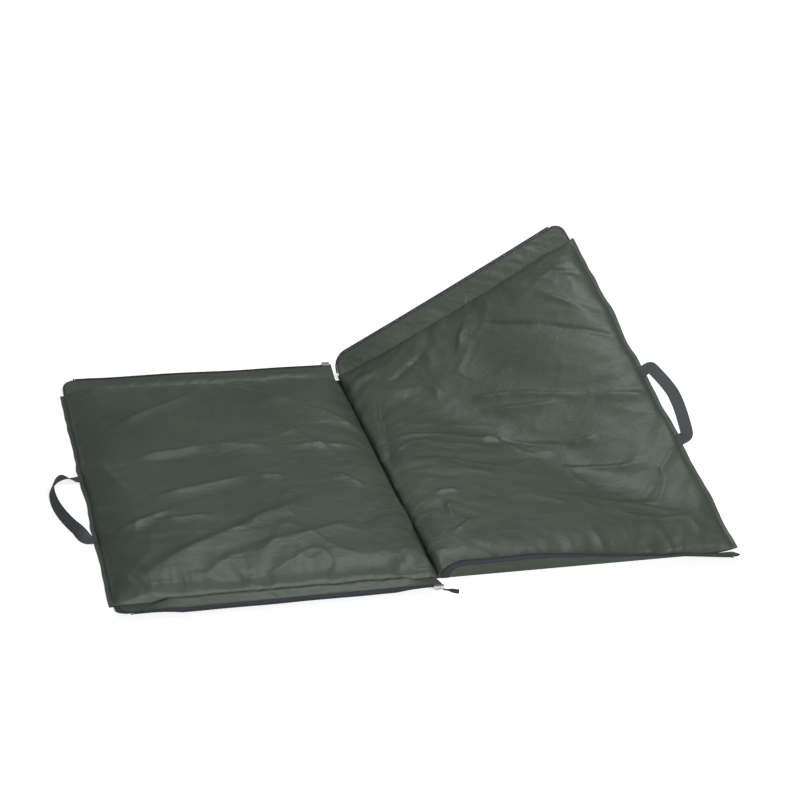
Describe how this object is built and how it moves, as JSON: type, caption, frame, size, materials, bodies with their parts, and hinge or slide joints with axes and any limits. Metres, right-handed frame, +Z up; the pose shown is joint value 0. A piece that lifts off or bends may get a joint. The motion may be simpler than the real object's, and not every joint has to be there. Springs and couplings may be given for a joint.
{
  "type": "unhooking mat",
  "caption": "Fold-over padded fishing mat: panels joined at a spine, zip flaps on the long edges, webbing handles and roll straps, one rear corner turned up.",
  "frame": {"origin": "middle of the spine, on the ground, under the spine binding", "axes": "+X from the spine over the right panel, +Y to the rear edge with the raised corner, +Z up off the ground"},
  "size_m": [1.2647, 0.9148, 0.3722],
  "materials": {
    "coated_nylon": "thin coated nylon, dark grey-green, soft sheen",
    "gusset_nylon": "the same cloth, lit lighter, gathered",
    "base_nylon": "heavier coated cloth, matt",
    "foam": "soft open foam, inside the covers",
    "webbing": "woven webbing, grey, matt",
    "zip_tape": "woven zip tape, navy grey",
    "zip_coil": "moulded coil, satin",
    "zip_metal": "plated zip metal",
    "puller_tape": "black pull tape, lettering left bare",
    "hook_and_loop": "black hook and loop patch"
  },
  "bodies": {
    "left_panel": {"spine_binding": "webbing", "left_top_cover": "coated_nylon", "left_foam": "foam", "left_base_cover": "base_nylon", "outer_roll_strap": "webbing", "inner_roll_strap": "webbing", "outer_strap_hook_patch": "hook_and_loop", "outer_strap_loop_patch": "hook_and_loop", "inner_strap_hook_patch": "hook_and_loop", "inner_strap_loop_patch": "hook_and_loop"},
    "right_panel": {"right_top_cover_flat": "coated_nylon", "right_foam_flat": "foam", "right_base_cover_flat": "base_nylon", "right_front_gusset": "gusset_nylon", "right_front_zip_tape": "zip_tape", "right_front_zip_coil": "zip_coil", "right_front_top_stop": "zip_metal"},
    "right_corner": {"right_top_cover_corner": "coated_nylon", "right_foam_corner": "foam", "right_base_cover_corner": "base_nylon", "right_back_gusset": "gusset_nylon", "right_back_zip_tape": "zip_tape", "right_back_zip_coil": "zip_coil", "right_back_top_stop": "zip_metal"},
    "left_front_flap": {"left_front_gusset": "gusset_nylon", "left_front_zip_tape": "zip_tape", "left_front_zip_coil": "zip_coil", "left_front_top_stop": "zip_metal", "left_front_bottom_stop": "zip_metal"},
    "left_back_flap": {"left_back_gusset": "gusset_nylon", "left_back_zip_tape": "zip_tape", "left_back_zip_coil": "zip_coil", "left_back_top_stop": "zip_metal", "left_back_bottom_stop": "zip_metal"},
    "front_slider": {"front_slider_body": "zip_metal", "front_slider_bail": "zip_metal"},
    "back_slider": {"back_slider_body": "zip_metal", "back_slider_bail": "zip_metal"},
    "front_puller": {"front_puller_link": "zip_metal", "front_puller_tape": "puller_tape"},
    "back_puller": {"back_puller_link": "zip_metal", "back_puller_tape": "puller_tape"},
    "left_handle_loop": {"left_handle": "webbing"},
    "right_handle_loop": {"right_handle": "webbing"}
  },
  "joints": [
    {"name": "mat_fold", "type": "hinge", "parent": "left_panel", "child": "right_panel", "pos_m": [0, 0, 0.054], "axis": [0, -1, 0], "range_deg": [0, 180]},
    {"name": "corner_fold", "type": "hinge", "parent": "right_panel", "child": "right_corner", "pos_m": [0.3015, 0, 0], "axis": [-0.5981, 0.8014, 0], "range_deg": [0, 47.8]},
    {"name": "left_front_flap_turn", "type": "hinge", "parent": "left_panel", "child": "left_front_flap", "pos_m": [-0.3015, -0.4007, 0.0015], "axis": [-1, 0, 0], "range_deg": [0, 52]},
    {"name": "left_back_flap_turn", "type": "hinge", "parent": "left_panel", "child": "left_back_flap", "pos_m": [-0.3015, 0.4007, 0.0015], "axis": [1, 0, 0], "range_deg": [0, 52]},
    {"name": "front_slider_run", "type": "slide", "parent": "left_front_flap", "child": "front_slider", "axis": [-1, 0, 0], "range_m": [0, 0.542]},
    {"name": "back_slider_run", "type": "slide", "parent": "left_back_flap", "child": "back_slider", "axis": [-1, 0, 0], "range_m": [0, 0.542]},
    {"name": "front_puller_turn", "type": "hinge", "parent": "front_slider", "child": "front_puller", "pos_m": [-0.0146, -0.45059, 0.01235], "axis": [0, 0.9511, -0.309], "range_deg": [0, 150]},
    {"name": "back_puller_turn", "type": "hinge", "parent": "back_slider", "child": "back_puller", "pos_m": [-0.0146, 0.45059, 0.01235], "axis": [0, -0.9511, -0.309], "range_deg": [0, 150]},
    {"name": "left_handle_swing", "type": "hinge", "parent": "left_panel", "child": "left_handle_loop", "pos_m": [-0.595, -0.066, 0.0031], "axis": [0, 1, 0], "range_deg": [0, 50]},
    {"name": "right_handle_swing", "type": "hinge", "parent": "right_corner", "child": "right_handle_loop", "pos_m": [0.54103, -0.08828, 0.15254], "axis": [0.1559, -0.8838, -0.4411], "range_deg": [0, 60]}
  ],
  "couplings": [
    {"joint": "corner_fold", "follows": "mat_fold", "ratio": 0.26556}
  ]
}
